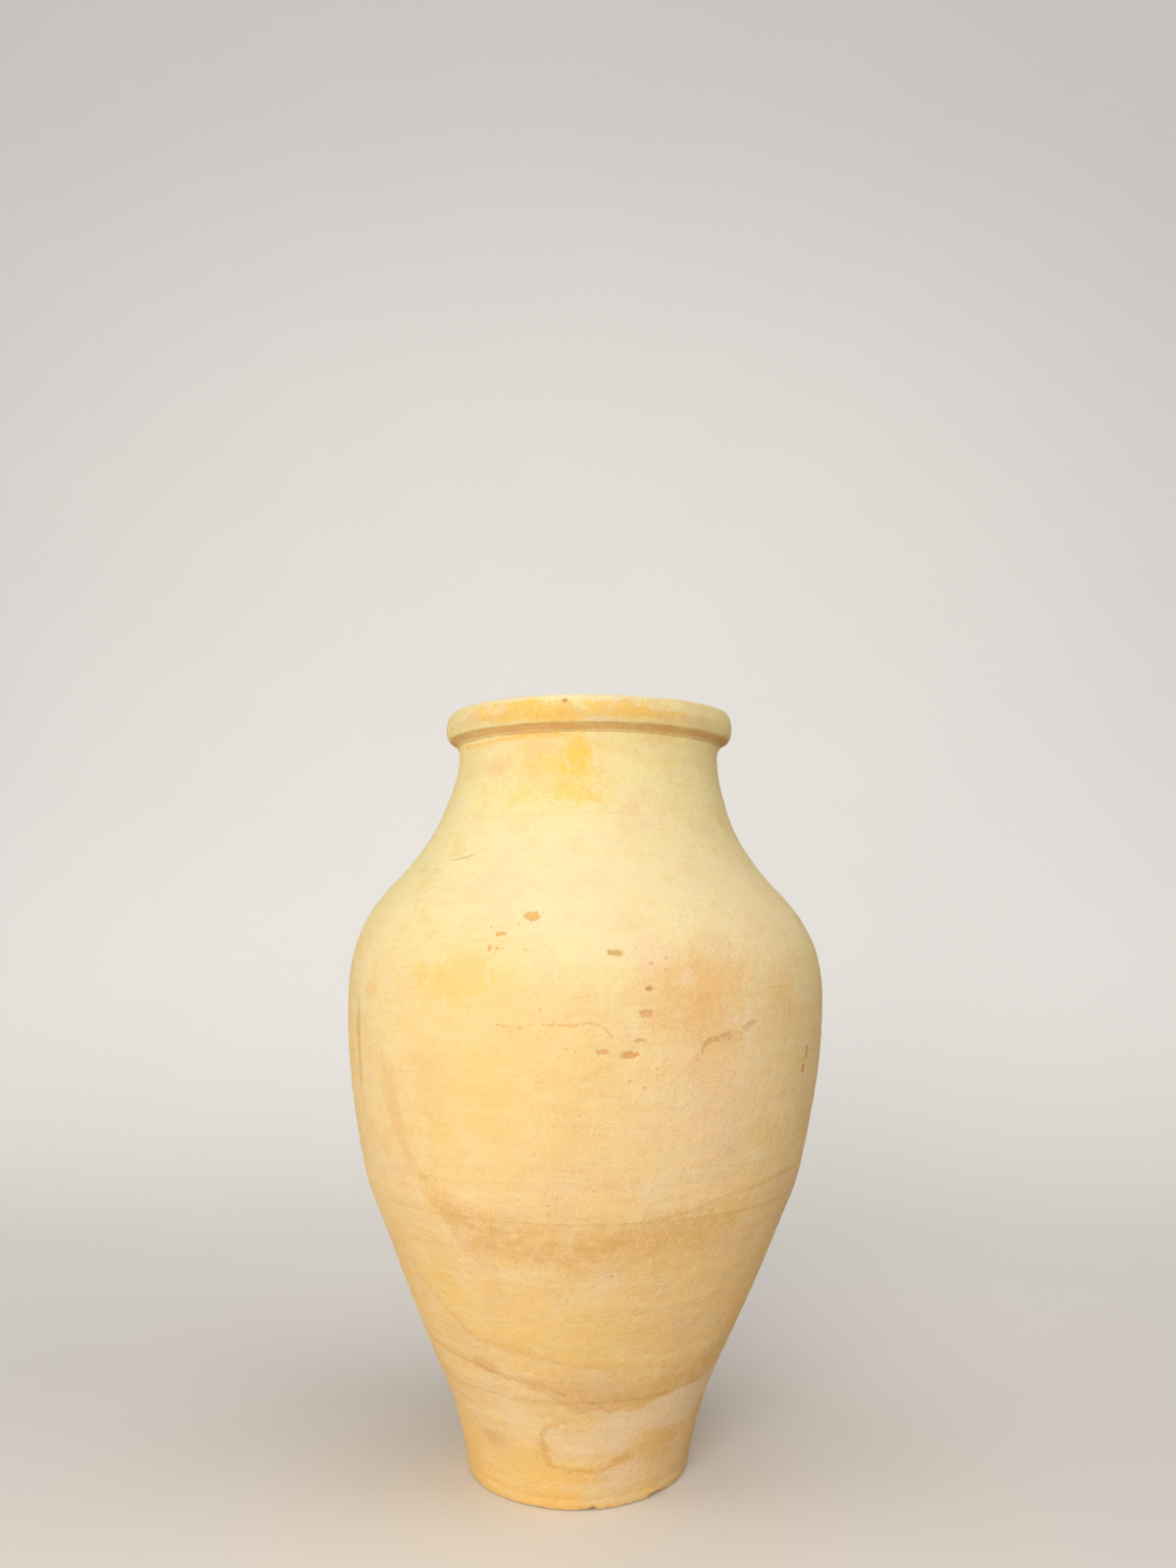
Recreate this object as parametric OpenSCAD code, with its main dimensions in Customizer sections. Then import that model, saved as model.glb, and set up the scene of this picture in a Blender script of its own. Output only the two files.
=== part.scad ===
// Tall wheel-thrown terracotta water jar. It is thrown in sections, which are
// luted one on the other with slip, and it is closed by a rolled rim.
// Millimetres, +Z up, origin in the middle of the underside.

/* [Foot section] */
// Radius of the foot where it stands on the ground
foot_r = 94.5; // [88:0.5:102]
// Outward lean of the wall at the ground, in degrees
foot_lean = 10; // [2:1:16]
// Wall thickness at the ground
foot_wall_t = 15; // [12:0.5:18]
// Thickness of the beaten clay slab that closes the bottom
slab_t = 12; // [9:0.5:16]
// How far the slab's squeezed edge stands proud of the wall
slab_edge = 1.2; // [0.6:0.1:2.5]
// Height of the seam between the foot section and the lower section
foot_h = 92; // [80:1:105]
// Outer radius at that seam
foot_seam_r = 123; // [118:0.5:128]
// Outward lean of the wall at that seam, in degrees
foot_seam_lean = 25.5; // [18:0.5:28]

/* [Lower section] */
// Height from the foot seam up to the waist seam
lower_h = 150; // [135:1:170]
// Outer radius at the waist seam
waist_r = 187.5; // [181:0.5:193]
// Outward lean of the wall just below the waist seam, in degrees
waist_lean_below = 23.5; // [16:0.5:27]
// Outward lean of the wall just above the waist seam, in degrees
waist_lean_above = 14; // [10:1:18]

/* [Belly section] */
// Height from the waist seam up to the widest place
belly_rise = 159; // [140:1:180]
// Outer radius at the widest place
belly_r = 211; // [205:0.5:220]
// Height from the widest place up to the shoulder seam
belly_fall = 91; // [80:1:105]
// Wall thickness from the waist seam to the shoulder seam
belly_wall_t = 12; // [9:0.5:15]

/* [Shoulder section] */
// Outer radius at the shoulder seam
shoulder_r = 174.5; // [168:0.5:182]
// Inward lean of the wall at the shoulder seam, in degrees
shoulder_lean = 43.5; // [36:0.5:46]
// Height from the shoulder seam up to the neck seam
shoulder_h = 68; // [60:1:80]

/* [Neck section] */
// Outer radius of the neck at its narrow top, under the rim
throat_r = 119.5; // [117:0.5:123]
// How much wider than that the neck is at the neck seam
neck_flare = 10.5; // [7:0.5:15]
// Inward lean of the wall at the neck seam, in degrees
neck_lean = 18.5; // [12:0.5:25]
// Height from the neck seam up to the rim's seat
neck_h = 60; // [50:1:75]
// Outward lean of the neck at the rim's seat, in degrees
throat_lean = 10; // [0:1:14]
// Wall thickness at the top of the neck, which sets the round mouth's radius
throat_t = 12.5; // [9:0.5:16]

/* [Rim] */
// Height of the rolled rim above its seat
rim_h = 30; // [26:0.5:36]
// Height of the roll's widest place above its seat
roll_z = 15.5; // [12:0.5:18]
// How far the roll stands out from the neck
roll_out = 12; // [9:0.5:15]
// How square the roll's top is: 2 is an ellipse, and more is squarer
roll_square = 2.8; // [2:0.1:4]
// Height of the roll's lower lip above its seat
lip_z = 5.5; // [3:0.5:8]
// How far the lower lip stands out from the neck
lip_out = 8; // [5:0.5:8.5]

/* [Luting] */
// Thickness of the fired slip in a seam
slip_t = 0.8; // [0.4:0.1:1.5]
// Depth of the V that is cut in a section's top edge to hold the next one
groove_d = 5; // [2:0.5:8]
// Height of the soft coil that is pressed over a seam on the inside
coil_h = 32; // [20:1:44]
// Thickness of that coil at its middle
coil_t = 4; // [2:0.5:6]
// Height and width of the coil in the corner between slab and wall
corner_coil = 18; // [10:1:26]

/* [Hidden] */

// facets round the axis, and straight steps along a wall and along each round stretch
facets = 180;
wall_steps = 10;
slab_edge_steps = 12;
roll_steps = 24;
lip_steps = 6;
coil_steps = 10;

// how deep the corner coil is hollowed: 1 follows the corner, and 0 is a flat slope
corner_hollow = 0.8;

clay = [0.90, 0.77, 0.56];
rim_clay = [0.91, 0.74, 0.47];
slip_clay = [0.83, 0.69, 0.49];
coil_clay = [0.86, 0.71, 0.50];

// heights of the seams, from the ground
foot_seam_z = foot_h;
waist_z = foot_seam_z + lower_h;
belly_z = waist_z + belly_rise;
shoulder_z = belly_z + belly_fall;
neck_seam_z = shoulder_z + shoulder_h;
seat_z = neck_seam_z + neck_h;
wall_foot_z = slab_t + slip_t;
coil_reach = coil_h / 2;

// radii that follow the throat's
neck_seam_r = throat_r + neck_flare;
mouth_r = throat_r - throat_t;

// one row for each place where the wall is set: height, outer radius,
// lean below it, lean above it, and the wall's thickness measured level
stations = [
    [0, foot_r, foot_lean, foot_lean, level_t(foot_wall_t, foot_lean)],
    [foot_seam_z, foot_seam_r, foot_seam_lean, foot_seam_lean,
        level_t((foot_wall_t + belly_wall_t) / 2, foot_seam_lean)],
    [waist_z, waist_r, waist_lean_below, waist_lean_above,
        level_t(belly_wall_t, (waist_lean_below + waist_lean_above) / 2)],
    [belly_z, belly_r, 0, 0, belly_wall_t],
    [shoulder_z, shoulder_r, -shoulder_lean, -shoulder_lean, level_t(belly_wall_t, shoulder_lean)],
    [neck_seam_z, neck_seam_r, -neck_lean, -neck_lean, level_t(belly_wall_t, neck_lean)],
    [seat_z, throat_r, throat_lean, throat_lean, throat_t]
];

// a wall's level thickness, from its thickness square to its face
function level_t(t, lean) = t / cos(lean);

// the stretch between two stations that a height falls in
function stretch(z) = max([for (i = [0:len(stations) - 2]) z >= stations[i][0] ? i : 0]);

// smooth curve between two stations that keeps their radii and leans
function curve_r(z, a, b) =
    let(h = b[0] - a[0], u = (z - a[0]) / h, v = 1 - u)
    a[1] * (1 + 2 * u) * v * v + h * tan(a[3]) * u * v * v
    + b[1] * (3 - 2 * u) * u * u - h * tan(b[2]) * u * u * v;

function outer_r(z) = curve_r(z, stations[stretch(z)], stations[stretch(z) + 1]);

function wall_at(z) =
    let(a = stations[stretch(z)], b = stations[stretch(z) + 1])
    a[4] + (b[4] - a[4]) * (z - a[0]) / (b[0] - a[0]);

function inner_r(z) = outer_r(z) - wall_at(z);

function middle_r(z) = outer_r(z) - wall_at(z) / 2;

// heights from a to b in equal steps, without a itself
function rise(a, b, steps) = [for (i = [1:steps]) a + (b - a) * i / steps];

function reversed(list) = [for (i = [len(list) - 1:-1:0]) list[i]];

// heights of a plain section: its wall bends where the coils inside end
function section_heights(low, high, low_reach, high_reach) =
    concat([low, low + low_reach],
           rise(low + low_reach, high - high_reach, wall_steps),
           high_reach > 0 ? [high] : []);

// outline of a section's wall, with the V that it stands in and the V in its top edge
function wall_outline(heights, foot_groove) =
    let(low = heights[0], high = heights[len(heights) - 1])
    concat([for (z = heights) [outer_r(z), z]],
           [[middle_r(high), high - groove_d]],
           [for (z = reversed(heights)) [inner_r(z), z]],
           foot_groove > 0 ? [[middle_r(low), low - foot_groove]] : []);

// outline of the slip under a seam at height z
function slip_outline(z, groove) = [
    [outer_r(z - slip_t), z - slip_t],
    [outer_r(z), z],
    [middle_r(z), z - groove],
    [inner_r(z), z],
    [inner_r(z - slip_t), z - slip_t],
    [middle_r(z - slip_t), z - slip_t - groove]
];

// outline of a soft coil pressed over a seam: flat on the wall, swelling inwards
function coil_outline(z) =
    let(low = z - slip_t - coil_reach, high = z + coil_reach,
        back = [low, z - slip_t, z, high])
    concat([for (h = back) [inner_r(h), h]],
           [for (i = [coil_steps - 1:-1:1])
               let(h = low + (high - low) * i / coil_steps)
               [back_r(h, back) - coil_t * sin(180 * i / coil_steps), h]]);

// radius of the coil's flat back at a height, straight between its corners
function back_r(h, back) =
    let(i = max([for (k = [0:len(back) - 2]) h >= back[k] ? k : 0]))
    inner_r(back[i]) + (inner_r(back[i + 1]) - inner_r(back[i])) * (h - back[i]) / (back[i + 1] - back[i]);

// quarter round of a superellipse that makes the roll's top, from outside to inside
function roll_top() =
    let(widest = throat_r + roll_out,
        centre = (widest + mouth_r) / 2, half = (widest - mouth_r) / 2, high = rim_h - roll_z)
    [for (i = [0:roll_steps])
        let(a = 180 * i / roll_steps, c = cos(a), s = sin(a))
        [centre + half * sign(c) * pow(abs(c), 2 / roll_square),
         seat_z + roll_z + high * pow(abs(s), 2 / roll_square)]];

// quarter ellipse from the roll's lower lip out to its widest place
function roll_face() =
    [for (i = [0:lip_steps - 1])
        let(a = 90 * i / lip_steps)
        [throat_r + lip_out + (roll_out - lip_out) * sin(a),
         seat_z + roll_z - (roll_z - lip_z) * cos(a)]];

module turned(outline) rotate_extrude($fn = facets) polygon(outline);

module base_disc() {
    edge = [for (i = [0:slab_edge_steps])
        let(z = slab_t * i / slab_edge_steps)
        [outer_r(z) + slab_edge * sin(180 * z / slab_t), z]];
    color(clay) turned(concat([[0, 0]], edge, [[0, slab_t]]));
}

module foot_section() {
    heights = section_heights(wall_foot_z, foot_seam_z - slip_t, corner_coil, coil_reach);
    color(clay) turned(wall_outline(heights, 0));
}

module lower_section() {
    heights = section_heights(foot_seam_z, waist_z - slip_t, coil_reach, coil_reach);
    color(clay) turned(wall_outline(heights, groove_d));
}

module belly_section() {
    heights = concat([waist_z, waist_z + coil_reach],
                     rise(waist_z + coil_reach, belly_z, wall_steps),
                     rise(belly_z, shoulder_z - slip_t - coil_reach, wall_steps),
                     [shoulder_z - slip_t]);
    color(clay) turned(wall_outline(heights, groove_d));
}

module shoulder_section() {
    heights = section_heights(shoulder_z, neck_seam_z - slip_t, coil_reach, coil_reach);
    color(clay) turned(wall_outline(heights, groove_d));
}

module neck_section() {
    heights = section_heights(neck_seam_z, seat_z - slip_t, coil_reach, 0);
    color(clay) turned(wall_outline(heights, groove_d));
}

module rim_roll() {
    color(rim_clay) turned(concat(
        [[throat_r, seat_z]], roll_face(), roll_top(),
        [[mouth_r, seat_z], [middle_r(seat_z), seat_z - groove_d]]));
}

module slip(z) color(slip_clay) turned(slip_outline(z, groove_d));

module base_slip() color(slip_clay) turned([
    [outer_r(slab_t), slab_t], [outer_r(wall_foot_z), wall_foot_z],
    [inner_r(wall_foot_z), wall_foot_z], [inner_r(slab_t), slab_t]]);

module coil(z) color(coil_clay) turned(coil_outline(z));

// hollow quarter round in the corner between slab and wall
module corner_coil_inside() {
    top = wall_foot_z + corner_coil;
    corner = [inner_r(slab_t), slab_t];
    toe = corner - [corner_coil, 0];
    head = [inner_r(top), top];
    pull = corner_hollow * corner + (1 - corner_hollow) * (toe + head) / 2;
    face = [for (i = [1:coil_steps - 1])
        let(u = i / coil_steps, v = 1 - u)
        v * v * toe + 2 * u * v * pull + u * u * head];
    color(coil_clay) turned(concat([toe], face,
        [head, [inner_r(wall_foot_z), wall_foot_z], corner]));
}

base_disc();
foot_section();
lower_section();
belly_section();
shoulder_section();
neck_section();
rim_roll();
base_slip();
slip(foot_seam_z);  // foot_slip
slip(waist_z);  // waist_slip
slip(shoulder_z);  // shoulder_slip
slip(neck_seam_z);  // neck_slip
slip(seat_z);  // rim_slip
corner_coil_inside();
coil(foot_seam_z);  // foot_coil_inside
coil(waist_z);  // waist_coil_inside
coil(shoulder_z);  // shoulder_coil_inside
coil(neck_seam_z);  // neck_coil_inside
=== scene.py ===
import math
import random

import bpy
import numpy as np
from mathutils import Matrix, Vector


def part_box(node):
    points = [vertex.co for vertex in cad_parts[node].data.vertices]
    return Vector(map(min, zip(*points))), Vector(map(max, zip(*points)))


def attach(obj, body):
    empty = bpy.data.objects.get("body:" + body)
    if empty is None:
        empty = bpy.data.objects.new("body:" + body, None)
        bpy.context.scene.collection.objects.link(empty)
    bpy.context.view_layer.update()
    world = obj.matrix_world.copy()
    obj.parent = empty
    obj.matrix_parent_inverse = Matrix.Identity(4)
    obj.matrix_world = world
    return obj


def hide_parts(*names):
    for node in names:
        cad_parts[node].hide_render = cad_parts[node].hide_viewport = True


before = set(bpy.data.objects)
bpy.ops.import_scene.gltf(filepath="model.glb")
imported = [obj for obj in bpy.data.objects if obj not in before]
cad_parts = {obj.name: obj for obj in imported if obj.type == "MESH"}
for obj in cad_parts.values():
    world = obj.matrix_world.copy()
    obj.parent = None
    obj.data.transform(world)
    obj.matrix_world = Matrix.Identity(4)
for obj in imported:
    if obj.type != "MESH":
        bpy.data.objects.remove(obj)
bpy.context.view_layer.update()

# The jar is thrown in sections that are luted together. Every section is turned here as a closed
# ring, so the joints between them are real, and all of them take the same hand-made wobble.
# Metres, azimuth 0 is the front (-Y) and grows towards +X.

mm = 0.001
weldGap = 2e-6


def seamHeight(slipNode):
    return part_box(slipNode)[1].z


seams = {
    "slabTop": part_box("base_disc")[1].z,
    "wallFoot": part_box("base_slip")[1].z,
    "foot": seamHeight("foot_slip"),
    "waist": seamHeight("waist_slip"),
    "shoulder": seamHeight("shoulder_slip"),
    "neck": seamHeight("neck_slip"),
    "seat": seamHeight("rim_slip"),
    "top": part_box("rim_roll")[1].z,
}
slipThickness = seams["wallFoot"] - seams["slabTop"]
grooveDepth = seams["foot"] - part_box("lower_section")[0].z

# the wall where it is set: outer radius, lean below and above in degrees, thickness square to the face
wallStations = [
    {"z": 0.0, "radius": 94.5 * mm, "below": 10.0, "above": 10.0, "thick": 15.0 * mm},
    {"z": seams["foot"], "radius": 123.0 * mm, "below": 25.5, "above": 25.5, "thick": 13.5 * mm},
    {"z": seams["waist"], "radius": 187.5 * mm, "below": 23.5, "above": 14.0, "thick": 12.0 * mm},
    {"z": 401.0 * mm, "radius": 210.6 * mm, "below": 0.0, "above": 0.0, "thick": 12.0 * mm},
    {"z": seams["shoulder"], "radius": 174.5 * mm, "below": -43.5, "above": -43.5, "thick": 12.0 * mm},
    {"z": seams["neck"], "radius": 130.0 * mm, "below": -18.5, "above": -18.5, "thick": 12.0 * mm},
    {"z": seams["seat"], "radius": 119.5 * mm, "below": 10.0, "above": 10.0, "thick": 12.3 * mm},
]
stationHeights = [station["z"] for station in wallStations]
waistRounding = 13.0 * mm  # how far above and below the waist seam its kink is smoothed


def wallBetween(height, lower, upper):
    span = upper["z"] - lower["z"]
    u = (height - lower["z"]) / span
    v = 1 - u
    slopeIn = span * math.tan(math.radians(lower["above"]))
    slopeOut = span * math.tan(math.radians(upper["below"]))
    outer = lower["radius"] * (1 + 2 * u) * v * v + slopeIn * u * v * v
    outer += upper["radius"] * (3 - 2 * u) * u * u - slopeOut * u * u * v
    thickLow = lower["thick"] / math.cos(math.radians((lower["below"] + lower["above"]) / 2))
    thickHigh = upper["thick"] / math.cos(math.radians((upper["below"] + upper["above"]) / 2))
    return outer, thickLow + (thickHigh - thickLow) * u


def wallAt(heights):
    # outer radius and level thickness at many heights at once
    heights = np.clip(np.asarray(heights, dtype=float), 0.0, stationHeights[-1])
    outer = np.empty_like(heights)
    thick = np.empty_like(heights)
    stretch = np.clip(np.searchsorted(stationHeights, heights, side="right") - 1, 0, len(wallStations) - 2)
    for i in range(len(wallStations) - 1):
        here = stretch == i
        outer[here], thick[here] = wallBetween(heights[here], wallStations[i], wallStations[i + 1])
    for station in wallStations[1:-1]:
        kink = math.tan(math.radians(station["below"])) - math.tan(math.radians(station["above"]))
        near = np.clip(1 - np.abs(heights - station["z"]) / waistRounding, 0.0, 1.0)
        outer -= kink * waistRounding / 4 * near ** 2
    return outer, thick


def outerRadius(height):
    return float(wallAt([height])[0][0])


def innerRadius(height):
    outer, thick = wallAt([height])
    return float(outer[0] - thick[0])


def middleRadius(height):
    return (outerRadius(height) + innerRadius(height)) / 2


# turning

turning = {
    "stepsRound": 576,
    "wedges": 12,
    "outsideStep": 2.6 * mm,
    "insideStep": 8.0 * mm,
    "jointStep": 3.0 * mm,
}


def pull(start, end, step):
    # points from start to end in even steps, without start itself
    count = max(1, math.ceil(math.dist(start, end) / step))
    return [
        (start[0] + (end[0] - start[0]) * i / count, start[1] + (end[1] - start[1]) * i / count)
        for i in range(1, count + 1)
    ]


def riseAlong(radiusAt, low, high, step):
    count = max(1, round(abs(high - low) / step))
    heights = [low + (high - low) * i / count for i in range(count + 1)]
    return [(radiusAt(z), z) for z in heights]


def turnPiece(name, outline, stepsRound):
    # one vertex is pulled along the outline, which is spun into a wedge that is copied round the axis
    bpy.ops.object.select_all(action="DESELECT")
    bpy.ops.mesh.primitive_plane_add(size=2 * mm, location=(outline[0][0], 0, outline[0][1]))
    piece = bpy.context.object
    piece.name = name
    piece.data.name = name
    bpy.ops.object.mode_set(mode="EDIT")
    bpy.ops.mesh.select_all(action="SELECT")
    bpy.ops.mesh.merge(type="CENTER")
    for here, there in zip(outline, outline[1:] + outline[:1]):
        move = (there[0] - here[0], 0, there[1] - here[1])
        bpy.ops.mesh.extrude_region_move(TRANSFORM_OT_translate={"value": move})
    bpy.ops.mesh.select_all(action="SELECT")
    bpy.ops.mesh.remove_doubles(threshold=weldGap)
    wedges = turning["wedges"]
    wedge = 2 * math.pi / wedges
    bpy.ops.mesh.spin(steps=stepsRound // wedges, angle=wedge, center=(0, 0, 0), axis=(0, 0, 1))
    bpy.ops.mesh.select_all(action="SELECT")
    bpy.ops.mesh.spin(
        steps=wedges - 1, dupli=True, angle=wedge * (wedges - 1), center=(0, 0, 0), axis=(0, 0, 1)
    )
    bpy.ops.mesh.select_all(action="SELECT")
    bpy.ops.mesh.remove_doubles(threshold=weldGap)
    bpy.ops.mesh.normals_make_consistent(inside=False)
    bpy.ops.object.mode_set(mode="OBJECT")
    bpy.ops.object.transform_apply(location=True, rotation=False, scale=False)
    bpy.ops.object.shade_smooth()
    return piece


# the potter's hand

dice = random.Random(11)


def handWaves(count, turns, rises, size):
    # slow waves round and up the wall, as a hand leaves them
    return [
        (dice.randint(*turns), dice.uniform(*rises), size * dice.uniform(0.5, 1.0), dice.uniform(0, 2 * math.pi))
        for _ in range(count)
    ]


def roundKnots(count):
    # random knots that close round the jar
    return np.array([dice.random() for _ in range(count)])


hand = {
    "wobble": handWaves(7, (2, 7), (-22.0, 22.0), 0.16 * mm),
    "dents": handWaves(9, (6, 17), (-70.0, 70.0), 0.07 * mm),
    "ridgeHeights": (0.0113, 0.0172, 0.0261),  # from one throwing ridge to the next
    "ridgeDepth": 0.10 * mm,
    "insideRidge": 0.55 * mm,
    "insideRidgeHeight": 0.0155,
}

# the worn edge that the jar stands on
footEdge = {
    "lift": 0.7 * mm,  # all round, as the slab is a little hollow and its edge worn
    "reach": 4.6 * mm,
    "bites": roundKnots(44),
    "crumbs": roundKnots(170),
    "biteLift": 2.4 * mm,
    "biteDeep": 1.5 * mm,
    "crease": 10.2 * mm,
    "creaseDeep": 0.22 * mm,
}

# how far each height of the jar sits off the middle, to the right and to the back
leaning = {
    "heights": (0.0, 0.10, 0.195, 0.30, 0.40, 0.44, 0.494, 0.55, 0.60, 0.65),
    "right": (-7.0, -6.0, -3.2, -1.8, 0.0, -0.5, -3.4, -0.6, 2.2, 3.7),
    "back": (2.0, 1.0, -0.5, -1.0, 0.0, 0.4, 1.0, 0.6, -0.6, -1.2),
}

# pits where flakes have come off: azimuth and height, width and height of the flake, depth
spalls = [
    {"at": (-11.9, 468), "size": (12, 6.5), "deep": 1.0, "tone": "ochreFlake"},
    {"at": (-18.4, 455), "size": (9, 2.6), "deep": 0.4, "tone": "ochreFlake"},
    {"at": (-20.6, 444), "size": (3, 5), "deep": 0.3, "tone": "ochreFlake"},
    {"at": (6.4, 441), "size": (12, 4.5), "deep": 0.8, "tone": "greyFlake"},
    {"at": (13.0, 415), "size": (6, 3), "deep": 0.7, "tone": "brownFlakeAndPaintedShade"},
    {"at": (12.4, 397), "size": (10, 5.5), "deep": 0.5, "tone": "pinkFlake"},
    {"at": (11.0, 378), "size": (8, 3), "deep": 0.4, "tone": "pinkFlake"},
    {"at": (9.1, 367), "size": (12, 5), "deep": 1.0, "tone": "orangeFlake"},
    {"at": (3.6, 370), "size": (9, 3.5), "deep": 0.4, "tone": "pinkFlake"},
    {"at": (60.7, 357), "size": (5, 11), "deep": 0.7, "tone": "greyFlake"},
    {"at": (58.9, 345), "size": (4, 8), "deep": 0.5, "tone": "brownFlakeAndPaintedShade"},
    {"at": (-7.6, 644), "size": (5, 3.5), "deep": 0.8, "tone": "brownFlakeAndPaintedShade"},
    {"at": (142.0, 392), "size": (14, 7), "deep": 1.0, "tone": "ochreFlake"},
    {"at": (171.0, 281), "size": (9, 6), "deep": 0.8, "tone": "pinkFlake"},
    {"at": (-128.0, 431), "size": (8, 5), "deep": 0.7, "tone": "greyFlake"},
    {"at": (-158.0, 342), "size": (12, 5), "deep": 0.8, "tone": "orangeFlake"},
    {"at": (104.0, 463), "size": (9, 4), "deep": 0.6, "tone": "ochreFlake"},
    {"at": (-96.0, 376), "size": (7, 9), "deep": 0.6, "tone": "pinkFlake"},
]


def wavesOver(waves, azimuth, height):
    total = np.zeros_like(azimuth)
    for turns, rise, size, phase in waves:
        total += size * np.sin(turns * azimuth + rise * height + phase)
    return total


def softStep(low, high, values):
    t = np.clip((values - low) / (high - low), 0.0, 1.0)
    return t * t * (3 - 2 * t)


def knotsAt(knots, azimuth):
    # smooth noise from knots that stand evenly round the jar
    place = (azimuth / (2 * math.pi) % 1.0) * len(knots)
    first = np.floor(place).astype(int) % len(knots)
    share = place - np.floor(place)
    share = share * share * (3 - 2 * share)
    return knots[first] * (1 - share) + knots[(first + 1) % len(knots)] * share


def angleFrom(azimuth, degrees):
    # the short way round, in radians
    return (azimuth - math.radians(degrees) + math.pi) % (2 * math.pi) - math.pi


def throwingRidges(azimuth, height):
    total = np.zeros_like(azimuth)
    for i, gap in enumerate(hand["ridgeHeights"]):
        strength = 0.55 + 0.45 * np.sin((i + 1) * azimuth + 31.0 * height + i)
        total += strength * np.sin(2 * math.pi * height / gap - azimuth + 1.7 * i)
    return hand["ridgeDepth"] * total


def spallDepth(azimuth, height, radius):
    total = np.zeros_like(azimuth)
    for spall in spalls:
        across = angleFrom(azimuth, spall["at"][0]) * radius / (spall["size"][0] * mm / 2)
        up = (height - spall["at"][1] * mm) / (spall["size"][1] * mm / 2)
        reach = np.sqrt(across ** 2 + up ** 2)
        total += spall["deep"] * mm * (1 - softStep(0.55, 1.25, reach))
    return total


def wearFootEdge(azimuth, height):
    # how much the edge is lifted and drawn in, where it is worn and chipped
    near = 1 - softStep(0.0, footEdge["reach"], height)
    bites = softStep(0.60, 0.92, knotsAt(footEdge["bites"], azimuth))
    crumbs = softStep(0.35, 1.0, knotsAt(footEdge["crumbs"], azimuth))
    wear = bites * (0.6 + 0.4 * crumbs) + 0.12 * crumbs
    lift = near * (footEdge["lift"] + footEdge["biteLift"] * wear)
    return lift, near * footEdge["biteDeep"] * wear


def shapeByHand(piece):
    count = len(piece.data.vertices)
    points = np.empty(count * 3)
    piece.data.vertices.foreach_get("co", points)
    points = points.reshape(-1, 3)
    radius = np.hypot(points[:, 0], points[:, 1])
    azimuth = np.arctan2(points[:, 0], -points[:, 1])
    height = points[:, 2].copy()

    outer, thick = wallAt(height)
    outside = np.clip((radius - outer + thick) / thick, 0.0, 1.0)
    onRim = height > seams["seat"] + 0.5 * mm
    outside = np.where(onRim, softStep(115 * mm, 122 * mm, radius), outside)
    turned = softStep(15 * mm, 60 * mm, radius)  # the middle of the slab stays flat

    wobble = wavesOver(hand["wobble"], azimuth, height) + wavesOver(hand["dents"], azimuth, height)
    crease = footEdge["creaseDeep"] * np.exp(-((height - footEdge["crease"]) / (1.3 * mm)) ** 2)
    fineOut = throwingRidges(azimuth, height) - spallDepth(azimuth, height, radius) - crease
    ridgeIn = hand["insideRidge"] * np.sin(2 * math.pi * height / hand["insideRidgeHeight"] - azimuth)
    proud = np.clip((outer - thick - radius) / (4 * mm), 0.0, 1.0)  # the coils inside
    thumbs = 0.9 * mm * proud * np.sin(31 * azimuth + 3 * np.sin(5 * azimuth) + 40 * height)
    inside = (1 - outside) * (1 - proud) * np.where(onRim, 0.25, 1.0)
    moveOut = wobble * turned + outside * fineOut + inside * ridgeIn * turned - thumbs

    lift, drawIn = wearFootEdge(azimuth, height)
    onFootEdge = outside * (height < 2 * footEdge["reach"])
    radius = radius + np.where(radius > 1e-6, moveOut, 0.0) - drawIn * onFootEdge
    height = height + lift * onFootEdge
    waves = 1 + 0.6 * np.sin(2 * azimuth + 0.6) + 0.4 * np.sin(5 * azimuth)
    height = height - 0.5 * mm * waves * softStep(0.634, 0.65, height)

    right = np.interp(points[:, 2], leaning["heights"], leaning["right"]) * mm
    back = np.interp(points[:, 2], leaning["heights"], leaning["back"]) * mm
    moved = np.stack([radius * np.sin(azimuth) + right, -radius * np.cos(azimuth) + back, height], 1)
    piece.data.vertices.foreach_set("co", moved.ravel())
    skin = piece.data.attributes.new("outside", "FLOAT", "POINT")
    skin.data.foreach_set("value", outside)
    piece.data.update()


def finishPiece(piece, node, look):
    shapeByHand(piece)
    bpy.ops.object.select_all(action="DESELECT")
    piece.select_set(True)
    bpy.context.view_layer.objects.active = piece
    bpy.ops.object.shade_smooth_by_angle(angle=math.radians(38))
    heights = [corner[2] / mm for corner in piece.bound_box]
    piece.data.materials.append(makeClay(piece.name + "Clay", look, min(heights), max(heights)))
    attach(piece, "root")
    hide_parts(node)
    print("turned", piece.name, len(piece.data.polygons), "faces")
    return piece


# colours, written as they look in the light

def fromSrgb(red, green, blue):
    def linear(value):
        value = value / 255
        return value / 12.92 if value <= 0.04045 else ((value + 0.055) / 1.055) ** 2.4
    return (linear(red), linear(green), linear(blue), 1.0)


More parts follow.
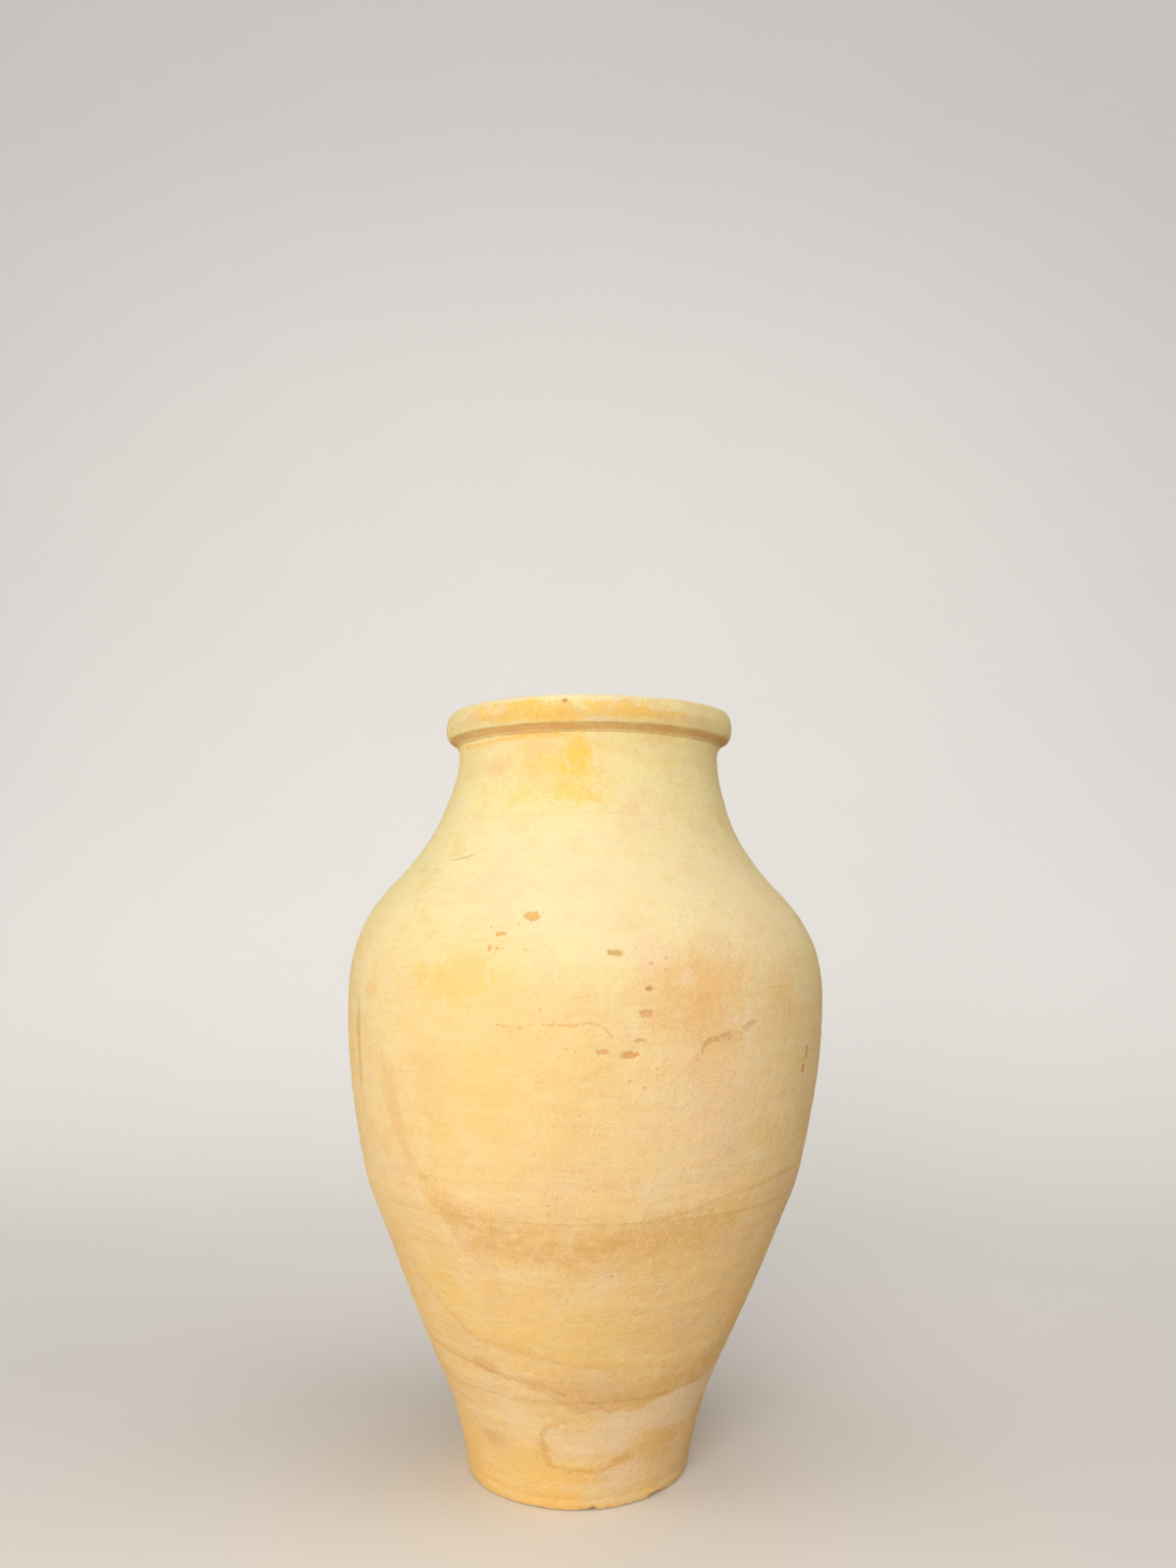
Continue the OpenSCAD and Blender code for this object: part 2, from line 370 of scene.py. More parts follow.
tones = {
    "footClay": fromSrgb(252, 207, 124),
    "lowClay": fromSrgb(247, 208, 142),
    "bodyClay": fromSrgb(246, 213, 152),
    "bellyClay": fromSrgb(243, 219, 160),
    "shoulderClay": fromSrgb(245, 232, 173),
    "neckClay": fromSrgb(245, 229, 165),
    "paleWashAndPaintedLight": fromSrgb(244, 226, 184),
    "warmWash": fromSrgb(236, 196, 132),
    "bloom": fromSrgb(246, 218, 180),
    "pinkWash": fromSrgb(238, 200, 158),
    "pinkPatch": fromSrgb(238, 184, 114),
    "goldWash": fromSrgb(244, 206, 122),
    "goldStain": fromSrgb(248, 190, 66),
    "rimGold": fromSrgb(250, 206, 106),
    "rimShade": fromSrgb(212, 160, 94),
    "neckGold": fromSrgb(252, 206, 92),
    "ochreStain": fromSrgb(228, 178, 100),
    "brownStain": fromSrgb(218, 170, 104),
    "dustBrown": fromSrgb(190, 150, 104),
    "rimWhite": fromSrgb(246, 232, 186),
    "ochreFlake": fromSrgb(234, 176, 88),
    "orangeFlake": fromSrgb(232, 160, 84),
    "pinkFlake": fromSrgb(232, 172, 122),
    "brownFlakeAndPaintedShade": fromSrgb(198, 142, 86),
    "greyFlake": fromSrgb(216, 166, 92),
    "scratch": fromSrgb(176, 150, 108),
    "insideClay": fromSrgb(218, 178, 124),
}

# the clay's colour up the wall, millimetres and tone
clayByHeight = [
    (0, "footClay"), (70, "lowClay"), (150, "lowClay"), (300, "bodyClay"), (410, "bellyClay"), (500, "shoulderClay"), (620, "neckClay"),
]


# node groups

def newGroup(name, inputs, outputs):
    group = bpy.data.node_groups.new(name, "ShaderNodeTree")
    for label, kind, value in inputs:
        socket = group.interface.new_socket(name=label, in_out="INPUT", socket_type=kind)
        if value is not None:
            socket.default_value = value
    for label, kind in outputs:
        group.interface.new_socket(name=label, in_out="OUTPUT", socket_type=kind)
    return group, group.nodes.new("NodeGroupInput"), group.nodes.new("NodeGroupOutput")


def feed(tree, socket, value):
    # links a socket, or sets a plain value on it
    if isinstance(value, bpy.types.NodeSocket):
        tree.links.new(value, socket)
    else:
        socket.default_value = value


def reckon(tree, operation, first, second=0.0, third=None, clamp=False):
    node = tree.nodes.new("ShaderNodeMath")
    node.operation = operation
    node.use_clamp = clamp
    feed(tree, node.inputs[0], first)
    feed(tree, node.inputs[1], second)
    if third is not None:
        feed(tree, node.inputs[2], third)
    return node.outputs[0]


def fade(tree, value, fromLow, fromHigh, toLow=0.0, toHigh=1.0):
    node = tree.nodes.new("ShaderNodeMapRange")
    node.interpolation_type = "SMOOTHSTEP"
    for socket, number in zip(node.inputs[:5], (value, fromLow, fromHigh, toLow, toHigh)):
        feed(tree, socket, number)
    return node.outputs[0]


def blendTone(tree, factor, first, second, mode="MIX"):
    node = tree.nodes.new("ShaderNodeMix")
    node.data_type = "RGBA"
    node.blend_type = mode
    feed(tree, node.inputs[0], factor)
    feed(tree, node.inputs[6], first)
    feed(tree, node.inputs[7], second)
    return node.outputs[2]


def noiseAt(tree, vector, scale, detail=2.0, roughness=0.5, stretch=None):
    if stretch is not None:
        mapping = tree.nodes.new("ShaderNodeMapping")
        mapping.inputs["Scale"].default_value = stretch
        feed(tree, mapping.inputs["Vector"], vector)
        vector = mapping.outputs[0]
    node = tree.nodes.new("ShaderNodeTexNoise")
    node.inputs["Scale"].default_value = scale
    node.inputs["Detail"].default_value = detail
    node.inputs["Roughness"].default_value = roughness
    feed(tree, node.inputs["Vector"], vector)
    return node.outputs[0]


def makeRoundJar():
    # where a point lies on the jar: degrees round it, millimetres up, and its radius in millimetres
    group, start, end = newGroup(
        "roundTheJar",
        [("Place", "NodeSocketVector", None)],
        [("Azimuth", "NodeSocketFloat"), ("Height", "NodeSocketFloat"), ("Radius", "NodeSocketFloat")],
    )
    split = group.nodes.new("ShaderNodeSeparateXYZ")
    group.links.new(start.outputs["Place"], split.inputs[0])
    x, y, z = split.outputs
    turn = reckon(group, "ARCTAN2", x, reckon(group, "MULTIPLY", y, -1.0))
    squares = reckon(group, "MULTIPLY_ADD", y, y, reckon(group, "MULTIPLY", x, x))
    group.links.new(reckon(group, "MULTIPLY", turn, 180 / math.pi), end.inputs["Azimuth"])
    group.links.new(reckon(group, "MULTIPLY", z, 1000.0), end.inputs["Height"])
    group.links.new(reckon(group, "MULTIPLY", reckon(group, "SQRT", squares), 1000.0), end.inputs["Radius"])
    return group


def makeSpot():
    # a ragged oval mark of real size in millimetres; a hollow one shows only its outline
    group, start, end = newGroup(
        "spotMark",
        [
            ("Azimuth", "NodeSocketFloat", 0.0), ("Height", "NodeSocketFloat", 0.0),
            ("Radius", "NodeSocketFloat", 0.0), ("Ragged", "NodeSocketFloat", 0.0),
            ("At Azimuth", "NodeSocketFloat", 0.0), ("At Height", "NodeSocketFloat", 0.0),
            ("Half Width", "NodeSocketFloat", 10.0), ("Half Height", "NodeSocketFloat", 10.0),
            ("Raggedness", "NodeSocketFloat", 0.3), ("Softness", "NodeSocketFloat", 0.3),
            ("Hollow", "NodeSocketFloat", 0.0),
        ],
        [("Mask", "NodeSocketFloat")],
    )
    said = start.outputs
    turn = reckon(group, "SUBTRACT", said["Azimuth"], said["At Azimuth"])
    alongGirth = reckon(group, "MULTIPLY", reckon(group, "MULTIPLY", turn, math.pi / 180), said["Radius"])
    across = reckon(group, "DIVIDE", alongGirth, said["Half Width"])
    up = reckon(group, "DIVIDE", reckon(group, "SUBTRACT", said["Height"], said["At Height"]), said["Half Height"])
    reach = reckon(group, "SQRT", reckon(group, "MULTIPLY_ADD", up, up, reckon(group, "MULTIPLY", across, across)))
    reach = reckon(group, "MULTIPLY_ADD", said["Ragged"], said["Raggedness"], reach)
    # a hollow spot is measured from its own outline
    away = reckon(group, "ABSOLUTE", reckon(group, "SUBTRACT", reach, said["Hollow"]))
    away = reckon(group, "MULTIPLY", away, reckon(group, "MULTIPLY_ADD", said["Hollow"], 10.0, 1.0))
    mask = fade(
        group, away, reckon(group, "ADD", 1.0, said["Softness"]), reckon(group, "SUBTRACT", 1.0, said["Softness"])
    )
    group.links.new(mask, end.inputs["Mask"])
    return group


def makeZone():
    # a ragged mark between a lower and an upper line that run round the jar, from one azimuth to another
    group, start, end = newGroup(
        "zoneMark",
        [
            ("Azimuth", "NodeSocketFloat", 0.0), ("Height", "NodeSocketFloat", 0.0),
            ("Lower", "NodeSocketFloat", 0.0), ("Upper", "NodeSocketFloat", 0.0), ("Ragged", "NodeSocketFloat", 0.0),
            ("Start", "NodeSocketFloat", -30.0), ("End", "NodeSocketFloat", 30.0), ("Run Out", "NodeSocketFloat", 8.0),
            ("Raggedness", "NodeSocketFloat", 3.0),
            ("Soft Below", "NodeSocketFloat", 2.0), ("Soft Above", "NodeSocketFloat", 2.0),
        ],
        [("Mask", "NodeSocketFloat")],
    )
    said = start.outputs
    height = reckon(group, "MULTIPLY_ADD", said["Ragged"], said["Raggedness"], said["Height"])
    lower, upper = said["Lower"], said["Upper"]
    low = fade(
        group, height, reckon(group, "SUBTRACT", lower, said["Soft Below"]), reckon(group, "ADD", lower, said["Soft Below"])
    )
    high = fade(
        group, height, reckon(group, "ADD", upper, said["Soft Above"]), reckon(group, "SUBTRACT", upper, said["Soft Above"])
    )
    fadeIn = fade(group, said["Azimuth"], said["Start"], reckon(group, "ADD", said["Start"], said["Run Out"]))
    fadeOut = fade(group, said["Azimuth"], said["End"], reckon(group, "SUBTRACT", said["End"], said["Run Out"]))
    across = reckon(group, "MULTIPLY", fadeIn, fadeOut)
    group.links.new(reckon(group, "MULTIPLY", reckon(group, "MULTIPLY", low, high), across), end.inputs["Mask"])
    return group


def makeClayColour():
    # the clay's own colour: by height, with soft clouds, wiped streaks, pale bloom and fine grain
    group, start, end = newGroup(
        "clayColour",
        [
            ("Place", "NodeSocketVector", None), ("Height", "NodeSocketFloat", 0.0),
            ("Cloud Amount", "NodeSocketFloat", 0.5), ("Streak Amount", "NodeSocketFloat", 0.5),
            ("Bloom Amount", "NodeSocketFloat", 0.5), ("Grain Amount", "NodeSocketFloat", 0.5),
        ],
        [("Colour", "NodeSocketColor"), ("Clouds", "NodeSocketFloat")],
    )
    said = start.outputs
    place = said["Place"]
    clouds = noiseAt(group, place, 10.0, 4.0, 0.55)
    wander = reckon(group, "MULTIPLY_ADD", reckon(group, "SUBTRACT", clouds, 0.5), 170.0, said["Height"])
    ramp = group.nodes.new("ShaderNodeValToRGB")
    stops = ramp.color_ramp.elements
    while len(stops) < len(clayByHeight):
        stops.new(0.5)
    for stop, (height, tone) in zip(stops, clayByHeight):
        stop.position = height / 650
        stop.color = tones[tone]
    feed(group, ramp.inputs[0], reckon(group, "MULTIPLY", wander, 1 / 650))
    colour = ramp.outputs[0]
    patches = noiseAt(group, place, 31.0, 4.0, 0.6, (1.0, 1.0, 1.5))
    cloudy = said["Cloud Amount"]
    pale = reckon(group, "MULTIPLY", fade(group, patches, 0.48, 0.68), cloudy, clamp=True)
    colour = blendTone(group, reckon(group, "MULTIPLY", pale, 0.55), colour, tones["paleWashAndPaintedLight"])
    warm = reckon(group, "MULTIPLY", fade(group, patches, 0.50, 0.30), cloudy, clamp=True)
    colour = blendTone(group, reckon(group, "MULTIPLY", warm, 0.50), colour, tones["warmWash"])
    pinkish = noiseAt(group, place, 15.0, 3.0, 0.6, (1.3, 0.9, 1.0))
    pinkish = reckon(group, "MULTIPLY", fade(group, pinkish, 0.50, 0.68), cloudy, clamp=True)
    colour = blendTone(group, reckon(group, "MULTIPLY", pinkish, 0.60), colour, tones["pinkWash"])
    streaks = noiseAt(group, place, 26.0, 4.0, 0.6, (1.0, 1.0, 8.0))
    wiped = reckon(group, "MULTIPLY", fade(group, streaks, 0.46, 0.70), said["Streak Amount"], clamp=True)
    colour = blendTone(group, reckon(group, "MULTIPLY", wiped, 0.5), colour, tones["paleWashAndPaintedLight"])
    dry = reckon(group, "MULTIPLY", fade(group, streaks, 0.50, 0.30), said["Streak Amount"], clamp=True)
    colour = blendTone(group, reckon(group, "MULTIPLY", dry, 0.32), colour, tones["warmWash"])
    salts = noiseAt(group, place, 240.0, 4.0, 0.7)
    saltPatches = fade(group, noiseAt(group, place, 21.0, 3.0, 0.6), 0.42, 0.66)
    salty = reckon(group, "MULTIPLY", fade(group, salts, 0.52, 0.70), reckon(group, "MULTIPLY", saltPatches, said["Bloom Amount"]), clamp=True)
    colour = blendTone(group, salty, colour, tones["bloom"])
    grain = noiseAt(group, place, 430.0, 5.0, 0.72)
    speck = reckon(group, "MULTIPLY", fade(group, grain, 0.48, 0.78), said["Grain Amount"], clamp=True)
    colour = blendTone(group, speck, colour, (0.80, 0.72, 0.62, 1.0), "MULTIPLY")
    group.links.new(colour, end.inputs["Colour"])
    group.links.new(clouds, end.inputs["Clouds"])
    return group


def makeSurface():
    # relief of the fired surface in millimetres: grain, lumps, fine lines of the wheel, and pinholes
    group, start, end = newGroup(
        "firedSurface",
        [
            ("Place", "NodeSocketVector", None), ("Height", "NodeSocketFloat", 0.0),
            ("Line Depth", "NodeSocketFloat", 0.5), ("Grain Depth", "NodeSocketFloat", 0.7),
            ("Lump Depth", "NodeSocketFloat", 1.0), ("Hole Depth", "NodeSocketFloat", 0.6),
            ("Grit Depth", "NodeSocketFloat", 0.15), ("Chipped", "NodeSocketFloat", 0.0),
        ],
        [("Relief", "NodeSocketFloat"), ("Holes", "NodeSocketFloat"), ("Chips", "NodeSocketFloat")],
    )
    said = start.outputs
    place = said["Place"]
    wander = noiseAt(group, place, 12.0, 2.0, 0.5)
    comb = group.nodes.new("ShaderNodeCombineXYZ")
    lineHeight = reckon(group, "MULTIPLY_ADD", wander, 9.0, said["Height"])
    group.links.new(reckon(group, "MULTIPLY", lineHeight, 0.001), comb.inputs["Z"])
    lines = reckon(group, "SUBTRACT", noiseAt(group, comb.outputs[0], 430.0, 2.0, 0.6), 0.5)
    lineFade = fade(group, noiseAt(group, place, 17.0, 2.0, 0.5), 0.34, 0.64)
    lines = reckon(group, "MULTIPLY", lines, reckon(group, "MULTIPLY", lineFade, said["Line Depth"]))
    grain = reckon(group, "MULTIPLY", reckon(group, "SUBTRACT", noiseAt(group, place, 560.0, 4.0, 0.7), 0.5), said["Grain Depth"])
    lumps = noiseAt(group, place, 110.0, 4.0, 0.6)
    lumps = reckon(group, "MULTIPLY", reckon(group, "SUBTRACT", lumps, 0.5), said["Lump Depth"])

    cells = group.nodes.new("ShaderNodeTexVoronoi")
    cells.inputs["Scale"].default_value = 150.0
    group.links.new(place, cells.inputs["Vector"])
    lot = group.nodes.new("ShaderNodeSeparateColor")
    group.links.new(cells.outputs["Color"], lot.inputs[0])
    holeSize = fade(group, lot.outputs[0], 0.80, 1.0, 0.0, 0.11)
    holes = fade(group, reckon(group, "SUBTRACT", holeSize, cells.outputs["Distance"]), 0.0, 0.05)

    # where the skin is chipped, small flakes are missing close together
    flakes = group.nodes.new("ShaderNodeTexVoronoi")
    flakes.inputs["Scale"].default_value = 260.0
    stretch = group.nodes.new("ShaderNodeMapping")
    stretch.inputs["Scale"].default_value = (0.7, 0.7, 1.3)
    group.links.new(place, stretch.inputs["Vector"])
    group.links.new(stretch.outputs[0], flakes.inputs["Vector"])
    flakeLot = group.nodes.new("ShaderNodeSeparateColor")
    group.links.new(flakes.outputs["Color"], flakeLot.inputs[0])
    flakeSize = fade(group, flakeLot.outputs[0], 0.58, 1.0, 0.0, 0.42)
    flakeSize = reckon(group, "MULTIPLY", flakeSize, said["Chipped"], clamp=True)
    chips = fade(group, reckon(group, "SUBTRACT", flakeSize, flakes.outputs["Distance"]), 0.0, 0.12)

    grit = reckon(group, "MULTIPLY", fade(group, noiseAt(group, place, 360.0, 2.0, 0.6), 0.60, 0.72), said["Grit Depth"])
    relief = reckon(group, "ADD", reckon(group, "ADD", grain, lumps), reckon(group, "ADD", lines, grit))
    relief = reckon(group, "SUBTRACT", relief, reckon(group, "MULTIPLY", holes, said["Hole Depth"]))
    relief = reckon(group, "MULTIPLY_ADD", chips, -0.3, relief)
    group.links.new(relief, end.inputs["Relief"])
    group.links.new(holes, end.inputs["Holes"])
    group.links.new(chips, end.inputs["Chips"])
    return group


groups = {
    "roundJar": makeRoundJar(),
    "spot": makeSpot(),
    "zone": makeZone(),
    "clay": makeClayColour(),
    "surface": makeSurface(),
}
print("node groups made")

# spots: place (azimuth, height), half width and height in millimetres, tone, strength, raggedness, softness
spots = [
    # belly and shoulder
    # the first spot is painted light: a broad pale pool where the light falls brightest on the front of the shoulder
    ((-9, 486), (66, 58), "paleWashAndPaintedLight", 0.70, 0.8, 0.95),
    ((-22, 350), (74, 70), "goldWash", 0.45, 0.9, 0.95),
    ((-25, 424), (30, 20), "goldWash", 0.60, 1.1, 0.9),
    ((-33, 420), (16, 12), "goldStain", 0.28, 1.2, 0.8),
    ((-34, 340), (13, 22), "warmWash", 0.60, 1.0, 0.9),
    ((-55, 410), (9, 7), "pinkPatch", 0.45, 0.8, 0.6),
    ((28, 335), (56, 62), "bloom", 0.45, 1.0, 0.95),
    ((44, 478), (70, 46), "bloom", 0.50, 0.9, 0.95),
    ((22, 414), (34, 25), "pinkPatch", 0.58, 1.0, 0.8),
    ((27, 396), (36, 30), "pinkPatch", 0.40, 1.0, 0.9),
    ((47, 400), (26, 26), "pinkPatch", 0.35, 1.0, 0.9),
    ((28, 345), (22, 26), "pinkPatch", 0.22, 1.2, 0.9),
    ((21, 422), (8, 8), "bloom", 0.65, 1.7, 0.4),
    ((31, 405), (7, 4), "bloom", 0.55, 1.7, 0.4),
    ((36.8, 387), (6, 20), "bloom", 0.80, 1.6, 0.5),
    ((33, 390), (9, 5), "bloom", 0.60, 1.6, 0.5),
    ((14.5, 441), (18, 11), "bloom", 0.60, 1.8, 0.6),
    ((-62.5, 358), (4, 38), "brownStain", 0.60, 0.7, 0.7),
    ((14, 398), (14, 12), "pinkPatch", 0.22, 1.2, 0.8),
    # neck
    ((-15, 588), (40, 26), "goldWash", 0.55, 1.2, 0.9),
    ((-2.6, 604), (9, 15), "neckGold", 0.85, 1.5, 0.6),
    ((-1, 583), (11, 12), "neckGold", 0.55, 1.6, 0.7),
    ((-5, 567), (20, 6), "neckGold", 0.55, 1.6, 0.7),
    ((-16, 592), (15, 6), "neckGold", 0.45, 1.6, 0.8),
    ((-23, 566), (14, 5), "neckGold", 0.45, 1.6, 0.7),
    ((-38, 591), (9, 5), "warmWash", 0.60, 1.2, 0.7),
    # foot
    ((-42, 50), (13, 6), "brownStain", 0.60, 1.1, 0.7),
    ((-30, 36), (26, 12), "goldWash", 0.55, 1.1, 0.8),
    ((2, 56), (30, 13), "bloom", 0.70, 1.0, 0.5),
    ((37, 54), (18, 17), "ochreStain", 0.50, 1.1, 0.7),
    ((17, 40), (9, 4), "ochreStain", 0.70, 0.9, 0.6),
    ((19, 26), (17, 11), "bloom", 0.60, 1.2, 0.5),
    ((-28, 80), (24, 20), "paleWashAndPaintedLight", 0.45, 1.1, 0.8),
    # rim
    ((-25, 640), (20, 4.5), "rimGold", 0.80, 1.1, 0.5),
    ((-9, 631.5), (21, 4.5), "goldStain", 0.50, 0.9, 0.6),
    ((17, 634), (28, 4.5), "rimGold", 0.65, 0.9, 0.7),
    ((5, 628), (9, 3.0), "bloom", 0.90, 0.8, 0.4),
    ((-12, 643), (9, 3.2), "rimWhite", 0.90, 1.4, 0.4),
    ((-37, 637), (8, 3), "rimWhite", 0.70, 1.4, 0.4),
    ((-48, 637), (16, 7), "pinkWash", 0.55, 0.9, 0.8),
    # back
    ((140, 330), (70, 42), "warmWash", 0.55, 1.2, 0.9),
    ((-120, 450), (60, 40), "pinkWash", 0.50, 1.2, 0.9),
    ((165, 500), (60, 44), "paleWashAndPaintedLight", 0.60, 1.0, 0.9),
    ((-150, 592), (24, 20), "goldStain", 0.45, 1.2, 0.8),
    ((-165, 395), (38, 22), "pinkPatch", 0.45, 1.1, 0.8),
    ((120, 60), (24, 14), "bloom", 0.60, 1.1, 0.5),
    ((-100, 46), (16, 8), "ochreStain", 0.55, 1.1, 0.7),
    ((95, 560), (20, 9), "goldStain", 0.30, 1.3, 0.7),
]

# outlines of spots: place, half size, tone, strength, and where they stop showing (slant of height on
# azimuth, limit)
rings = [
    ((0.5, 54.5), (36, 22), "ochreStain", 0.70, (0.9, 11)),
    ((-13, 424), (25, 23), "paleWashAndPaintedLight", 0.40, (-6.0, 30)),
    ((-13, 424), (30, 27), "goldWash", 0.22, (-6.0, 60)),
    ((-170, 70), (30, 18), "ochreStain", 0.55, (0.9, 11)),
]

# zones: points (azimuth, lower edge, upper edge), tone, strength, raggedness, softness below and above,
# how granular they are, and how far their ends run out
zones = [
    {"name": "smile", "tone": "ochreStain", "strength": 0.50, "ragged": 12, "soft": (10, 9), "grainy": 0.75, "runOut": 18,
     "edges": [(-50, 305, 345), (-46, 283, 325), (-43, 268, 296), (-39, 250, 272), (-35, 234, 262), (-28, 215, 254),
               (-20, 207, 247), (-10, 204, 240), (7, 203, 242), (25, 210, 246), (38, 226, 252), (52, 242, 260)]},
    {"name": "smileCore", "tone": "brownStain", "strength": 0.32, "ragged": 10, "soft": (6, 6), "grainy": 0.9, "runOut": 10,
     "edges": [(-48, 292, 316), (-44, 272, 296), (-40, 254, 274), (-36, 242, 260), (-29, 226, 248), (-22, 216, 240),
               (-10, 210, 230), (2, 212, 228), (13, 224, 243), (25, 225, 243), (36, 232, 246)]},
    {"name": "smileLine", "tone": "brownStain", "strength": 0.45, "ragged": 2.5, "soft": (2, 2), "grainy": 0.5, "runOut": 12,
     "edges": [(10, 242, 245), (24, 246, 249), (36, 255, 258), (53, 261, 264), (72, 262, 265)]},
    {"name": "leftLimb", "tone": "warmWash", "strength": 0.70, "ragged": 5, "soft": (8, 8), "grainy": 0.5, "runOut": 3,
     "edges": [(-52, 320, 365), (-48, 300, 352), (-45, 285, 330), (-42, 270, 300)]},
    {"name": "goldenLow", "tone": "goldWash", "strength": 0.42, "ragged": 6, "soft": (2, 22), "grainy": 0.25, "runOut": 14,
     "edges": [(-58, 196, 222), (-50, 172, 210), (-41, 150, 196), (-36, 141, 190), (-22, 135, 180), (-7, 127, 172),
               (5, 123, 166), (20, 124, 160)]},
    {"name": "goldenLowEdge", "tone": "brownStain", "strength": 0.48, "ragged": 4, "soft": (2, 5), "grainy": 0.7, "runOut": 12,
     "edges": [(-62, 207, 210), (-58, 194, 198), (-50, 171, 175), (-41, 149, 154), (-36, 139, 144), (-22, 134, 139),
               (-7, 125, 130), (5, 122, 126), (16, 121, 124)]},
    {"name": "lowBand", "tone": "brownStain", "strength": 0.46, "ragged": 7, "soft": (1.6, 8), "grainy": 0.8, "runOut": 8,
     "edges": [(-30, 112, 118), (-20, 105, 115), (-12, 98, 116), (-6, 85, 116), (2, 83, 113), (9, 83, 112), (17, 83, 113),
               (25, 84, 113), (34, 89, 115), (45, 92, 118), (54, 94, 126), (66, 104, 138)]},
    {"name": "lowBandCore", "tone": "ochreStain", "strength": 0.34, "ragged": 4, "soft": (2, 5), "grainy": 0.5, "runOut": 8,
     "edges": [(4, 86, 96), (15, 86, 100), (25, 87, 104), (34, 92, 108), (45, 96, 112), (56, 98, 114)]},
    {"name": "lowLine", "tone": "brownStain", "strength": 0.62, "ragged": 2.4, "soft": (1.0, 1.8), "grainy": 0.5, "runOut": 5,
     "edges": [(-75, 126, 129), (-62, 121, 124), (-51, 118, 122), (-43, 116, 120), (-33, 111, 115), (-24, 108, 111),
               (-14, 106, 109), (-8, 99, 102), (-4, 91, 94), (1, 82, 85)]},
    {"name": "blotchOnLine", "tone": "brownStain", "strength": 0.75, "ragged": 5, "soft": (2, 3), "grainy": 0.5, "runOut": 5,
     "edges": [(-42, 117, 123), (-35, 113, 124), (-28, 110, 118)]},
    {"name": "whitePatch", "tone": "bloom", "strength": 0.85, "ragged": 5, "soft": (5, 1.5), "grainy": 0.3, "runOut": 9,
     "edges": [(2, 74, 82), (10, 70, 82), (18, 62, 82), (25, 60, 83), (34, 60, 88), (45, 58, 91), (56, 60, 92), (75, 70, 104)]},
    {"name": "crease", "tone": "ochreStain", "strength": 0.55, "ragged": 1.5, "soft": (1.2, 1.2), "grainy": 0.5, "runOut": 12,
     "edges": [(-50, 9, 10.5), (0, 9, 10.5), (50, 9, 10.5)]},
    {"name": "crack", "tone": "orangeFlake", "strength": 0.50, "ragged": 3.6, "soft": (0.8, 0.8), "dashed": True, "runOut": 1.5,
     "edges": [(-19, 388, 390), (-14, 386, 388), (-9, 387.5, 389.5), (-3, 388, 390), (1, 388.5, 391), (3, 388, 390),
               (4.5, 383, 386), (6.5, 376, 379)]},
    {"name": "raggedCrack", "tone": "brownFlakeAndPaintedShade", "strength": 0.48, "ragged": 5.5, "soft": (0.9, 0.9), "dashed": True, "runOut": 0.6,
     "edges": [(23.0, 357, 364), (24.5, 365, 371), (26.5, 373, 378), (30, 377, 381), (34, 378.5, 382.5), (36, 381.5, 387), (39, 385, 391)]},
    {"name": "neckScratch", "tone": "scratch", "strength": 0.75, "ragged": 0.4, "soft": (0.5, 0.5), "grainy": 0.2, "runOut": 4,
     "edges": [(-46, 512.6, 513.4), (-40, 514.6, 515.6), (-34.5, 517.4, 518.6)]},
    {"name": "neckLine", "tone": "warmWash", "strength": 0.22, "ragged": 1.0, "soft": (0.8, 0.8), "grainy": 0.5, "runOut": 20,
     "edges": [(-70, 547, 548.4), (0, 550, 551.4), (70, 548, 549.4)]},
    # painted shade: the brown band in the recess under the rim's lip stands in for the shadow there
    {"name": "paintedShadeUnderRim", "tone": "rimShade", "strength": 0.80, "ragged": 0.8, "soft": (0.8, 1.4), "grainy": 0.2, "runOut": 1,
     "edges": [(-180, 621.4, 626), (180, 621.4, 626)]},
    {"name": "rimStain", "tone": "goldStain", "strength": 0.60, "ragged": 2.0, "soft": (2.2, 0.8), "grainy": 0.5, "runOut": 14,
     "edges": [(-75, 613, 617), (-45, 614, 618), (-20, 616, 619), (2, 616, 619)]},
    {"name": "rimBand", "tone": "rimGold", "strength": 0.85, "ragged": 6, "soft": (0.8, 1.0), "grainy": 0.3, "runOut": 7,
     "patchy": True,
     "edges": [(-50, 638, 643), (-42, 634, 646), (-33, 630, 646), (-24, 628, 645), (-10, 627.5, 643), (2, 630, 643),
               (14, 631, 645), (22, 631, 643), (30, 633, 641), (42, 635, 638)]},
    {"name": "rimBandThin", "tone": "ochreStain", "strength": 0.40, "ragged": 4, "soft": (2, 2), "grainy": 0.9, "runOut": 16,
     "edges": [(-70, 632, 636), (0, 630, 640), (62, 631, 637)]},
    {"name": "rimTop", "tone": "rimWhite", "strength": 0.85, "ragged": 4, "soft": (0.8, 4), "grainy": 0.6, "runOut": 8,
     "edges": [(-44, 647, 652), (-18, 645, 652), (0, 643.5, 652), (10, 644, 652), (17, 647, 652), (34, 646, 651)]},
    {"name": "backSmile", "tone": "ochreStain", "strength": 0.60, "ragged": 10, "soft": (8, 8), "grainy": 0.85, "runOut": 20,
     "edges": [(95, 290, 310), (125, 250, 278), (150, 228, 256), (178, 226, 246)]},
    {"name": "backLow", "tone": "brownStain", "strength": 0.60, "ragged": 7, "soft": (2, 7), "grainy": 0.6, "runOut": 20,
     "edges": [(-178, 96, 118), (-150, 92, 116), (-120, 100, 122), (-90, 128, 146)]},
]

# fields of small chips: place and half size
chipFields = [
    ((-18, 450), (15, 16)), ((-9, 389), (30, 8)), ((4, 374), (14, 9)), ((31, 383), (30, 24)), ((11, 352), (12, 22)),
    ((14, 436), (22, 12)), ((-8, 397), (10, 5)), ((58, 352), (16, 26)), ((28, 740), (10, 10)), ((150, 360), (40, 26)),
    ((-110, 410), (30, 22)),
]


